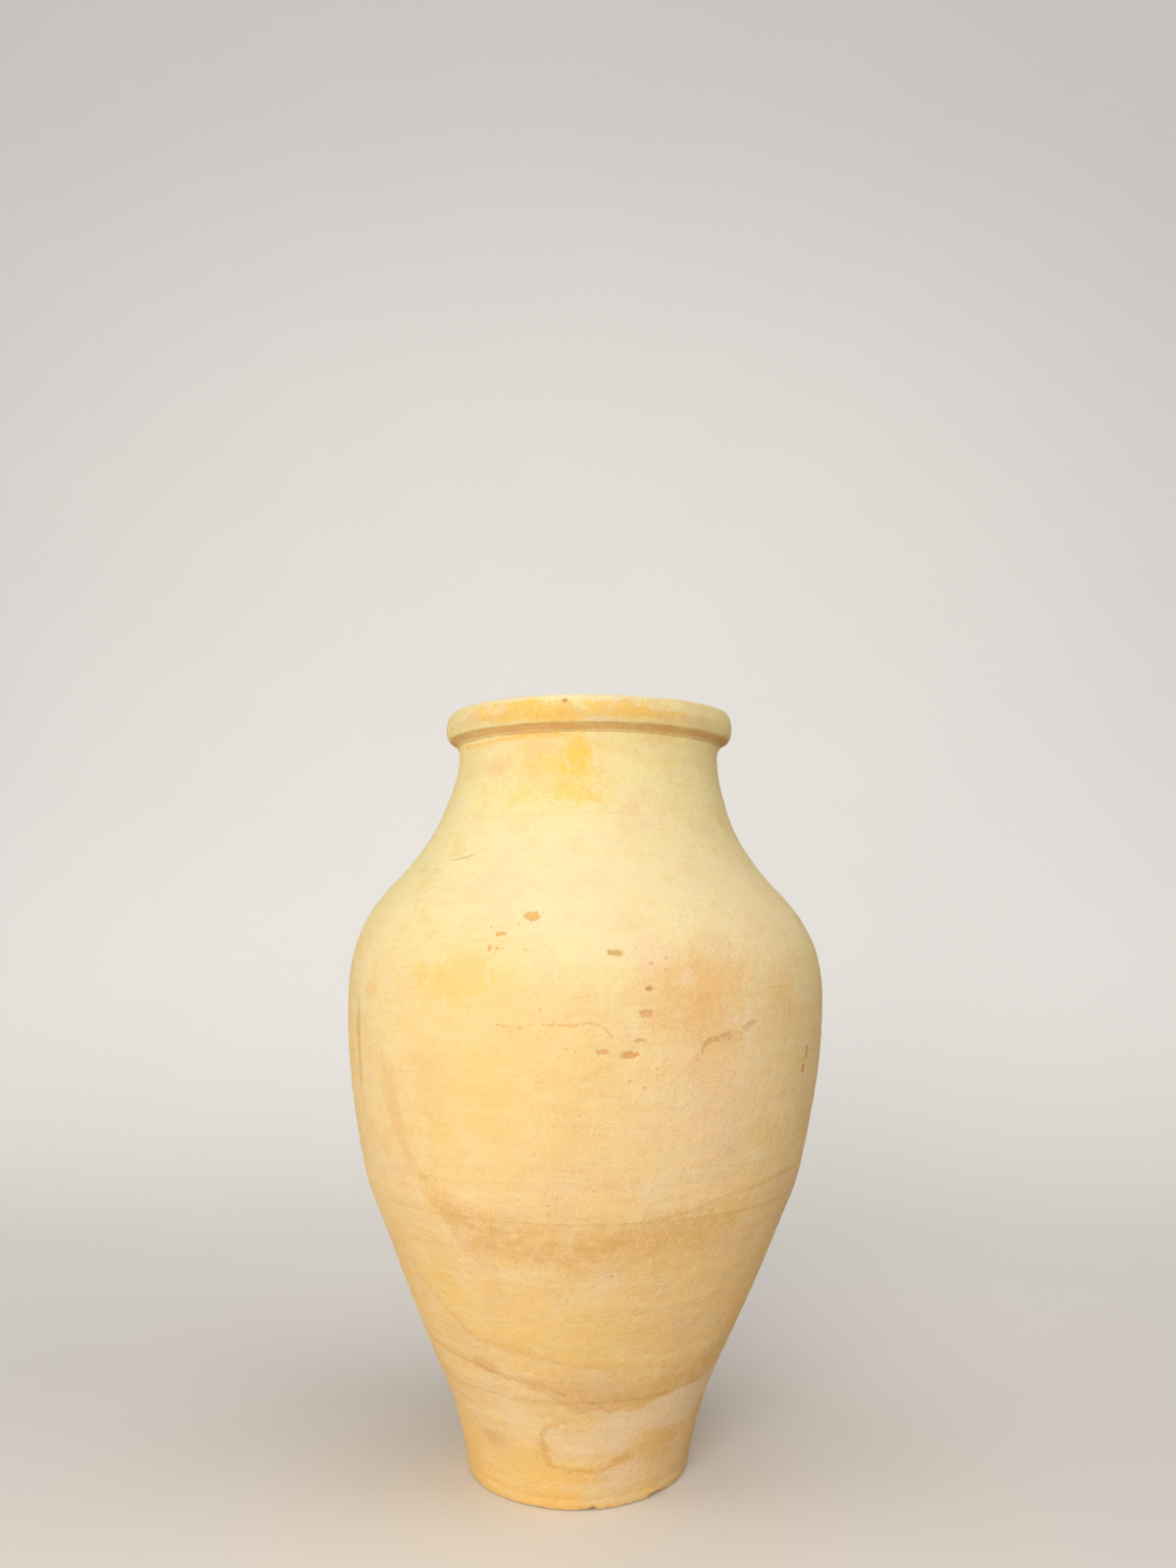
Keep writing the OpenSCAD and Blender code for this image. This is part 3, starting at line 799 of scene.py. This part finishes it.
def curveRound(tree, share, name, points):
    # a curve node that gives a height in millimetres at every azimuth
    node = tree.nodes.new("ShaderNodeFloatCurve")
    node.label = name
    curve = node.mapping.curves[0]
    curve.points[0].location = (0.0, points[0][1] / 650)
    curve.points[1].location = (1.0, points[-1][1] / 650)
    for azimuth, height in points:
        x = azimuth / 360 + 0.5
        if 0.0 < x < 1.0:
            curve.points.new(x, height / 650)
    for point in curve.points:
        point.handle_type = "AUTO_CLAMPED"
    node.mapping.update()
    feed(tree, node.inputs["Value"], share)
    return reckon(tree, "MULTIPLY", node.outputs[0], 650.0)


def placeGroup(tree, key, values):
    node = tree.nodes.new("ShaderNodeGroup")
    node.node_tree = groups[key]
    for label, value in values.items():
        feed(tree, node.inputs[label], value)
    return node.outputs


def touches(lowest, highest, low, high):
    return lowest <= high and highest >= low


def spotTouches(at, half, spread, low, high):
    reach = half[1] * spread
    return touches(at[1] - reach, at[1] + reach, low, high)


def zoneTouches(zone, low, high):
    below = zone["soft"][0] + zone["ragged"]
    above = zone["soft"][1] + zone["ragged"]
    lowest = min(edge[1] for edge in zone["edges"])
    highest = max(edge[2] for edge in zone["edges"])
    return touches(lowest - below, highest + above, low, high)


def makeClay(name, look, low, high):
    # the clay of one piece, with the marks that reach its stretch of height in millimetres
    material = bpy.data.materials.new(name)
    material.use_nodes = True
    tree = material.node_tree
    shader = tree.nodes["Principled BSDF"]
    place = tree.nodes.new("ShaderNodeTexCoord").outputs["Object"]
    where = placeGroup(tree, "roundJar", {"Place": place})
    onJar = {"Azimuth": where["Azimuth"], "Height": where["Height"]}
    skin = tree.nodes.new("ShaderNodeAttribute")
    skin.attribute_name = "outside"
    outside = fade(tree, skin.outputs["Fac"], 0.75, 0.98)

    fine = reckon(tree, "SUBTRACT", noiseAt(tree, place, 190.0, 4.0, 0.7), 0.5)
    broad = reckon(tree, "SUBTRACT", noiseAt(tree, place, 34.0, 3.0, 0.6), 0.5)
    ragged = reckon(tree, "MULTIPLY", reckon(tree, "ADD", fine, broad), 2.2)
    frayed = reckon(tree, "SUBTRACT", noiseAt(tree, place, 480.0, 3.0, 0.7), 0.5)
    grainy = fade(tree, noiseAt(tree, place, 120.0, 6.0, 0.78), 0.36, 0.62)
    dashes = fade(tree, noiseAt(tree, place, 190.0, 3.0, 0.7), 0.45, 0.52)
    blotches = fade(tree, noiseAt(tree, place, 70.0, 3.0, 0.65), 0.40, 0.50)

    clay = placeGroup(tree, "clay", {
        "Place": place, "Height": where["Height"], "Cloud Amount": look["cloud"], "Streak Amount": look["streak"],
        "Bloom Amount": look["bloom"], "Grain Amount": look["grain"],
    })
    colour = clay["Colour"]
    pits = 0.0
    chipped = 0.0

    def spotMask(at, half, raggedness, softness, hollow=0.0, edge=ragged):
        return placeGroup(tree, "spot", {
            **onJar, "Radius": where["Radius"], "Ragged": edge, "At Azimuth": float(at[0]), "At Height": float(at[1]),
            "Half Width": float(half[0]), "Half Height": float(half[1]),
            "Raggedness": raggedness, "Softness": softness, "Hollow": hollow,
        })["Mask"]

    def stain(mask, strength, tone, broken):
        # broken is the share of the stain that breaks up into grains
        amount = reckon(tree, "MULTIPLY_ADD", grainy, broken * strength, (1 - broken) * strength)
        amount = reckon(tree, "MULTIPLY", reckon(tree, "MULTIPLY", mask, amount), outside)
        return blendTone(tree, amount, colour, tones[tone])

    if look["stained"]:
        for at, half, tone, strength, raggedness, softness in spots:
            if not spotTouches(at, half, 1 + raggedness + softness, low, high):
                continue
            colour = stain(spotMask(at, half, raggedness, softness), strength, tone, 0.3)
        share = reckon(tree, "MULTIPLY_ADD", where["Azimuth"], 1 / 360, 0.5)
        for zone in zones:
            if not zoneTouches(zone, low, high):
                continue
            mask = placeGroup(tree, "zone", {
                **onJar, "Ragged": ragged,
                "Lower": curveRound(tree, share, zone["name"] + "Lower", [edge[:2] for edge in zone["edges"]]),
                "Upper": curveRound(tree, share, zone["name"] + "Upper", [(edge[0], edge[2]) for edge in zone["edges"]]),
                "Start": float(zone["edges"][0][0]), "End": float(zone["edges"][-1][0]),
                "Run Out": float(zone["runOut"]), "Raggedness": float(zone["ragged"]),
                "Soft Below": float(zone["soft"][0]), "Soft Above": float(zone["soft"][1]),
            })["Mask"]
            if zone.get("dashed"):
                mask = reckon(tree, "MULTIPLY", mask, dashes)
                pits = reckon(tree, "MULTIPLY_ADD", mask, 0.25, pits)
            if zone.get("patchy"):
                mask = reckon(tree, "MULTIPLY", mask, blotches)
            colour = stain(mask, zone["strength"], zone["tone"], zone.get("grainy", 0.2))
        for at, half, tone, strength, (slant, limit) in rings:
            if not spotTouches(at, half, 1.5, low, high):
                continue
            mask = spotMask(at, half, 0.35, 0.55, 1.0)
            turn = reckon(tree, "SUBTRACT", where["Azimuth"], float(at[0]))
            rise = reckon(tree, "SUBTRACT", where["Height"], float(at[1]))
            open_ = reckon(tree, "MULTIPLY_ADD", rise, slant, turn)
            mask = reckon(tree, "MULTIPLY", mask, fade(tree, open_, limit + 8.0, limit - 8.0))
            colour = stain(mask, strength, tone, 0.4)
        for at, half in chipFields:
            if not spotTouches(at, half, 2.7, low, high):
                continue
            chipped = reckon(tree, "MAXIMUM", spotMask(at, half, 0.8, 0.9), chipped)

    # the inside is plainer and a little darker
    inside = reckon(tree, "SUBTRACT", 1.0, outside)
    colour = blendTone(tree, reckon(tree, "MULTIPLY", inside, 0.7), colour, tones["insideClay"])

    surface = placeGroup(tree, "surface", {
        "Place": place, "Height": where["Height"], "Line Depth": look["lines"], "Grain Depth": look["rough"],
        "Lump Depth": look["lumps"], "Hole Depth": look["holes"], "Grit Depth": look["grit"],
        "Chipped": chipped,
    })
    # painted shade: the pinholes are coloured darker, for the shade inside them
    colour = blendTone(tree, reckon(tree, "MULTIPLY", surface["Holes"], 0.5), colour, tones["brownFlakeAndPaintedShade"])
    colour = blendTone(tree, reckon(tree, "MULTIPLY", surface["Chips"], 0.6), colour, tones["orangeFlake"])
    if look["stained"]:
        for spall in spalls:
            if not spotTouches(spall["at"], spall["size"], 1.5, low, high):
                continue
            flake = (0.45 * spall["size"][0], 0.45 * spall["size"][1])
            mask = spotMask(spall["at"], flake, 3.2, 0.25, edge=frayed)
            colour = blendTone(tree, reckon(tree, "MULTIPLY", mask, 0.8), colour, tones[spall["tone"]])
            pits = reckon(tree, "MULTIPLY_ADD", mask, 0.4, pits)
    tree.links.new(colour, shader.inputs["Base Color"])

    roughness = reckon(tree, "MULTIPLY_ADD", clay["Clouds"], 0.12, 0.84)
    tree.links.new(roughness, shader.inputs["Roughness"])
    shader.inputs["Specular IOR Level"].default_value = 0.22
    bump = tree.nodes.new("ShaderNodeBump")
    bump.inputs["Strength"].default_value = 1.0
    bump.inputs["Distance"].default_value = 1.0 * mm
    relief = reckon(tree, "SUBTRACT", surface["Relief"], pits)
    tree.links.new(relief, bump.inputs["Height"])
    tree.links.new(bump.outputs["Normal"], shader.inputs["Normal"])
    return material


# amounts of colour from 0 to 1, depths in millimetres
bodyLook = {"cloud": 0.75, "streak": 0.6, "bloom": 0.60, "grain": 0.70,
            "lines": 0.55, "rough": 0.75, "lumps": 1.3, "holes": 0.6, "grit": 0.16, "stained": True}
rimLook = {**bodyLook, "bloom": 0.75, "rough": 1.1, "lumps": 1.6}
slipLook = {**bodyLook, "streak": 0.8, "lines": 0.65}
insideLook = {**bodyLook, "lumps": 2.0, "stained": False}

# base slab and its slip

slab = {"edge": 0.4 * mm, "edgeStep": 1.0 * mm, "stepsRound": 576}


def makeSlab():
    top = seams["slabTop"]
    count = round(top / slab["edgeStep"])
    edge = []
    for i in range(count + 1):
        z = top * i / count
        edge.append((outerRadius(z) + slab["edge"] * math.sin(math.pi * i / count), z))
    under = pull((0.0, 0.0), edge[0], 8 * mm)
    over = pull(edge[-1], (0.0, top), 8 * mm)
    outline = [(0.0, 0.0)] + under + edge[1:] + over
    return turnPiece("baseSlab", outline, slab["stepsRound"])


def makeBaseSlip():
    low, high = seams["slabTop"], seams["wallFoot"]
    outline = [(outerRadius(low), low), (outerRadius(high), high), (innerRadius(high), high), (innerRadius(low), low)]
    return turnPiece("slipOnSlab", outline, slab["stepsRound"])


finishPiece(makeSlab(), "base_disc", bodyLook)
finishPiece(makeBaseSlip(), "base_slip", slipLook)

# the thrown sections, each a closed ring with the groove that it stands in


def sectionOutline(low, high, tongueBelow):
    outside = riseAlong(outerRadius, low, high, turning["outsideStep"])
    inside = riseAlong(innerRadius, high, low, turning["insideStep"])
    groove = (middleRadius(high), high - grooveDepth)
    outline = outside + pull(outside[-1], groove, turning["jointStep"]) + pull(groove, inside[0], turning["jointStep"])
    outline += inside[1:]
    if tongueBelow:
        tongue = (middleRadius(low), low - grooveDepth)
        outline += pull(inside[-1], tongue, turning["jointStep"])
        outline += pull(tongue, outside[0], turning["jointStep"])[:-1]
    else:
        outline += pull(inside[-1], outside[0], turning["jointStep"])[:-1]
    return outline


def slipOutline(height):
    low = height - slipThickness
    outer = [(outerRadius(low), low), (outerRadius(height), height)]
    inner = [(innerRadius(height), height), (innerRadius(low), low)]
    top = (middleRadius(height), height - grooveDepth)
    bottom = (middleRadius(low), low - grooveDepth)
    step = turning["jointStep"]
    outline = outer + pull(outer[1], top, step) + pull(top, inner[0], step) + [inner[1]]
    return outline + pull(inner[1], bottom, step) + pull(bottom, outer[0], step)[:-1]


sections = [
    ("footRing", "foot_section", seams["wallFoot"], seams["foot"] - slipThickness, False),
    ("lowerRing", "lower_section", seams["foot"], seams["waist"] - slipThickness, True),
    ("bellyRing", "belly_section", seams["waist"], seams["shoulder"] - slipThickness, True),
    ("shoulderRing", "shoulder_section", seams["shoulder"], seams["neck"] - slipThickness, True),
    ("neckRing", "neck_section", seams["neck"], seams["seat"] - slipThickness, True),
]
for pieceName, node, low, high, tongueBelow in sections:
    ring = turnPiece(pieceName, sectionOutline(low, high, tongueBelow), turning["stepsRound"])
    finishPiece(ring, node, bodyLook)

slips = [("slipInFootSeam", "foot_slip", "foot"), ("slipInWaistSeam", "waist_slip", "waist"),
         ("slipInShoulderSeam", "shoulder_slip", "shoulder"), ("slipInNeckSeam", "neck_slip", "neck")]
for pieceName, node, seam in slips:
    ring = turnPiece(pieceName, slipOutline(seams[seam]), turning["stepsRound"])
    finishPiece(ring, node, slipLook)

# rim: a roll on the neck, with a lower lip, a band under it and the bead of slip that it sits on

rim = {
    "widest": 131.5 * mm,
    "widestHeight": 635.3 * mm,
    "lip": (126.5 * mm, 626.0 * mm),
    "band": (121.6 * mm, 621.6 * mm),
    "topFlat": (126.3 * mm, 113.0 * mm),
    "mouth": 107.0 * mm,
    "mouthEdge": 641.0 * mm,
    "step": 1.3 * mm,
    "beadOut": 1.3 * mm,
}


def quarter(centre, across, up, fromTurn, toTurn, count):
    points = []
    for i in range(1, count + 1):
        turn = math.radians(fromTurn + (toTurn - fromTurn) * i / count)
        points.append((centre[0] + across * math.cos(turn), centre[1] + up * math.sin(turn)))
    return points


def rimOutline():
    seat = seams["seat"]
    neckTop = outerRadius(seat)
    face = rim["widest"] - rim["lip"][0]
    outline = [(neckTop, seat)]
    outline += pull(outline[-1], rim["band"], rim["step"])
    outline += pull(rim["band"], (rim["lip"][0] - 1.2 * mm, rim["lip"][1] - 0.4 * mm), rim["step"])
    outline += [(rim["lip"][0] - 0.3 * mm, rim["lip"][1] - 0.1 * mm)]
    outline += quarter((rim["lip"][0], rim["widestHeight"]), face, rim["widestHeight"] - rim["lip"][1], -90, 0, 9)
    topOut, topIn = rim["topFlat"]
    outline += quarter((topOut, rim["widestHeight"]), rim["widest"] - topOut, seams["top"] - rim["widestHeight"], 0, 90, 14)
    outline += pull((topOut, seams["top"]), (topIn, seams["top"]), 2.2 * mm)
    outline += quarter((topIn, rim["mouthEdge"]), topIn - rim["mouth"], seams["top"] - rim["mouthEdge"], 90, 180, 8)
    outline += pull((rim["mouth"], rim["mouthEdge"]), (rim["mouth"], seat), 4 * mm)
    tongue = (middleRadius(seat), seat - grooveDepth)
    outline += pull((rim["mouth"], seat), tongue, turning["jointStep"])
    outline += pull(tongue, (neckTop, seat), turning["jointStep"])[:-1]
    return outline


def rimSlipOutline():
    outline = slipOutline(seams["seat"])
    low, high = outline[0], outline[1]
    bead = [
        (low[0] + rim["beadOut"] * math.sin(math.pi * i / 5), low[1] + (high[1] - low[1]) * i / 5) for i in range(1, 5)
    ]
    return [low] + bead + outline[1:]


finishPiece(turnPiece("slipUnderRim", rimSlipOutline(), turning["stepsRound"]), "rim_slip", slipLook)
finishPiece(turnPiece("rimRoll", rimOutline(), turning["stepsRound"]), "rim_roll", rimLook)

# coils inside, pressed over the seams by thumb

coils = {"thick": 4.0 * mm, "steps": 12, "stepsRound": 288}


def coilOutline(slipNode, coilNode):
    low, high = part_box(coilNode)[0].z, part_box(coilNode)[1].z
    back = riseAlong(innerRadius, low, high, 4 * mm)
    face = []
    for i in range(1, coils["steps"]):
        share = 1 - i / coils["steps"]
        z = low + (high - low) * share
        face.append((innerRadius(z) - coils["thick"] * math.sin(math.pi * share), z))
    return back + face


def cornerCoilOutline():
    low, top = seams["slabTop"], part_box("corner_coil_inside")[1].z
    reach = top - seams["wallFoot"]
    corner = (innerRadius(low), low)
    toe = (corner[0] - reach, low)
    head = (innerRadius(top), top)
    face = []
    for i in range(1, coils["steps"]):
        u = i / coils["steps"]
        v = 1 - u
        bendX = 0.8 * corner[0] + 0.1 * (toe[0] + head[0])
        bendZ = 0.8 * corner[1] + 0.1 * (toe[1] + head[1])
        face.append((v * v * toe[0] + 2 * u * v * bendX + u * u * head[0], v * v * toe[1] + 2 * u * v * bendZ + u * u * head[1]))
    return [toe] + face + riseAlong(innerRadius, top, low, 4 * mm) + pull(corner, toe, 5 * mm)[:-1]


insideCoils = [("coilOverFootSeam", "foot_coil_inside", "foot_slip"), ("coilOverWaistSeam", "waist_coil_inside", "waist_slip"),
               ("coilOverShoulderSeam", "shoulder_coil_inside", "shoulder_slip"),
               ("coilOverNeckSeam", "neck_coil_inside", "neck_slip")]
for pieceName, node, slipNode in insideCoils:
    ring = turnPiece(pieceName, coilOutline(slipNode, node), coils["stepsRound"])
    finishPiece(ring, node, insideLook)
finishPiece(turnPiece("coilInCorner", cornerCoilOutline(), coils["stepsRound"]), "corner_coil_inside", insideLook)
print("jar turned")

# floor and backdrop: one pale sheet that curves up behind the jar

backdrop = {
    "wide": 9.0, "front": -3.2, "back": 2.6, "high": 4.5, "bend": 1.9,
    "paleTone": (0.86, 0.845, 0.82, 1.0),
    "paperTone": (0.82, 0.805, 0.78, 1.0),
    "bounceTone": (0.55, 0.50, 0.43, 1.0),  # what the paper throws back on the jar
    "wallFade": (-0.3, 2.0),
    "wallGlow": 0.36,
}


def makeBackdrop():
    bpy.ops.object.select_all(action="DESELECT")
    depth = backdrop["back"] - backdrop["front"]
    bpy.ops.mesh.primitive_plane_add(size=1, location=(0, (backdrop["front"] + backdrop["back"]) / 2, 0))
    sheet = bpy.context.object
    sheet.name = "backdrop"
    bpy.ops.transform.resize(value=(backdrop["wide"], depth, 1))
    bpy.ops.object.transform_apply(location=True, rotation=False, scale=True)
    bpy.ops.object.mode_set(mode="EDIT")
    bpy.ops.mesh.select_all(action="DESELECT")
    bpy.ops.object.mode_set(mode="OBJECT")
    for edge in sheet.data.edges:
        edge.select = all(abs(sheet.data.vertices[i].co.y - backdrop["back"]) < 1e-4 for i in edge.vertices)
    bpy.ops.object.mode_set(mode="EDIT")
    bpy.ops.mesh.select_mode(type="EDGE")
    bpy.ops.mesh.extrude_region_move(TRANSFORM_OT_translate={"value": (0, 0, backdrop["high"])})
    bpy.ops.mesh.select_mode(type="VERT")
    bpy.ops.mesh.select_all(action="DESELECT")
    bpy.ops.object.mode_set(mode="OBJECT")
    for edge in sheet.data.edges:
        ends = [sheet.data.vertices[i].co for i in edge.vertices]
        edge.select = all(abs(end.y - backdrop["back"]) < 1e-4 and abs(end.z) < 1e-4 for end in ends)
    bpy.ops.object.mode_set(mode="EDIT")
    bpy.ops.mesh.select_mode(type="EDGE")
    bpy.ops.mesh.bevel(offset=backdrop["bend"], segments=20)
    bpy.ops.mesh.select_all(action="SELECT")
    bpy.ops.mesh.normals_make_consistent(inside=False)
    bpy.ops.object.mode_set(mode="OBJECT")
    bpy.ops.object.shade_smooth()
    material = bpy.data.materials.new("palePaper")
    material.use_nodes = True
    tree = material.node_tree
    shader = tree.nodes["Principled BSDF"]
    place = tree.nodes.new("ShaderNodeTexCoord").outputs["Object"]
    look = tree.nodes.new("ShaderNodeLightPath").outputs
    seen = reckon(tree, "ADD", look["Is Camera Ray"], look["Is Glossy Ray"])
    seen = reckon(tree, "ADD", seen, look["Is Transmission Ray"], clamp=True)
    paper = blendTone(tree, noiseAt(tree, place, 3.0, 3.0), backdrop["paleTone"], backdrop["paperTone"])
    tree.links.new(blendTone(tree, seen, backdrop["bounceTone"], paper), shader.inputs["Base Color"])
    split = tree.nodes.new("ShaderNodeSeparateXYZ")
    tree.links.new(place, split.inputs[0])
    wall = fade(tree, split.outputs[1], *backdrop["wallFade"])
    glow = reckon(tree, "MULTIPLY", reckon(tree, "MULTIPLY", seen, wall), backdrop["wallGlow"])
    shader.inputs["Emission Color"].default_value = backdrop["paleTone"]
    tree.links.new(glow, shader.inputs["Emission Strength"])
    shader.inputs["Roughness"].default_value = 0.95
    shader.inputs["Specular IOR Level"].default_value = 0.1
    sheet.data.materials.append(material)


makeBackdrop()

# light: a large soft lamp at the front left, as in the photo, and a weak fill

lamps = [
    {"name": "keyLamp", "azimuth": -15, "elevation": 9, "away": 2.3, "size": 1.5, "watts": 38.5, "colour": (1.0, 0.95, 0.87)},
    {"name": "topLamp", "azimuth": 0, "elevation": 80, "away": 2.3, "size": 2.0, "watts": 18.0, "colour": (1.0, 0.96, 0.90)},
    {"name": "rightFill", "azimuth": 72, "elevation": 36, "away": 2.3, "size": 1.5, "watts": 11.0, "colour": (1.0, 0.91, 0.84)},
    {"name": "leftFill", "azimuth": -80, "elevation": 10, "away": 2.3, "size": 1.5, "watts": 11.5, "colour": (1.0, 0.94, 0.86)},
]
aim = (0.0, 0.0, 0.34)


def turnTowards(thing, target):
    away = np.array(thing.location) - np.array(target)
    level = math.hypot(away[0], away[1])
    thing.rotation_euler = (math.atan2(level, away[2]), 0.0, math.atan2(away[0], -away[1]))


for lamp in lamps:
    turn, rise = math.radians(lamp["azimuth"]), math.radians(lamp["elevation"])
    level = lamp["away"] * math.cos(rise)
    lampAt = (level * math.sin(turn), -level * math.cos(turn), aim[2] + lamp["away"] * math.sin(rise))
    bpy.ops.object.light_add(type="AREA", location=lampAt)
    light = bpy.context.object
    light.name = lamp["name"]
    light.data.size = lamp["size"]
    light.data.energy = lamp["watts"]
    light.data.color = lamp["colour"]
    light.visible_camera = False
    turnTowards(light, aim)

world = bpy.data.worlds.new("paleRoom")
bpy.context.scene.world = world
world.use_nodes = True
world.node_tree.nodes["Background"].inputs["Color"].default_value = (0.95, 0.96, 1.0, 1.0)
world.node_tree.nodes["Background"].inputs["Strength"].default_value = 0.22
bpy.context.scene.view_settings.view_transform = "Standard"

# camera: low in front of the jar and tilted up a little, as the photo was taken

cameraPlace = {"right": 2.25 * mm, "away": 1.0812, "up": 0.4693, "tiltUp": 6.33, "lens": 27.0, "sensor": 36.0}
bpy.ops.object.camera_add(
    location=(cameraPlace["right"], -cameraPlace["away"], cameraPlace["up"]),
    rotation=(math.radians(90 + cameraPlace["tiltUp"]), 0.0, 0.0),
)
camera = bpy.context.object
camera.name = "photoCamera"
camera.data.lens = cameraPlace["lens"]
camera.data.sensor_width = cameraPlace["sensor"]
bpy.context.scene.camera = camera
print("light and camera set")
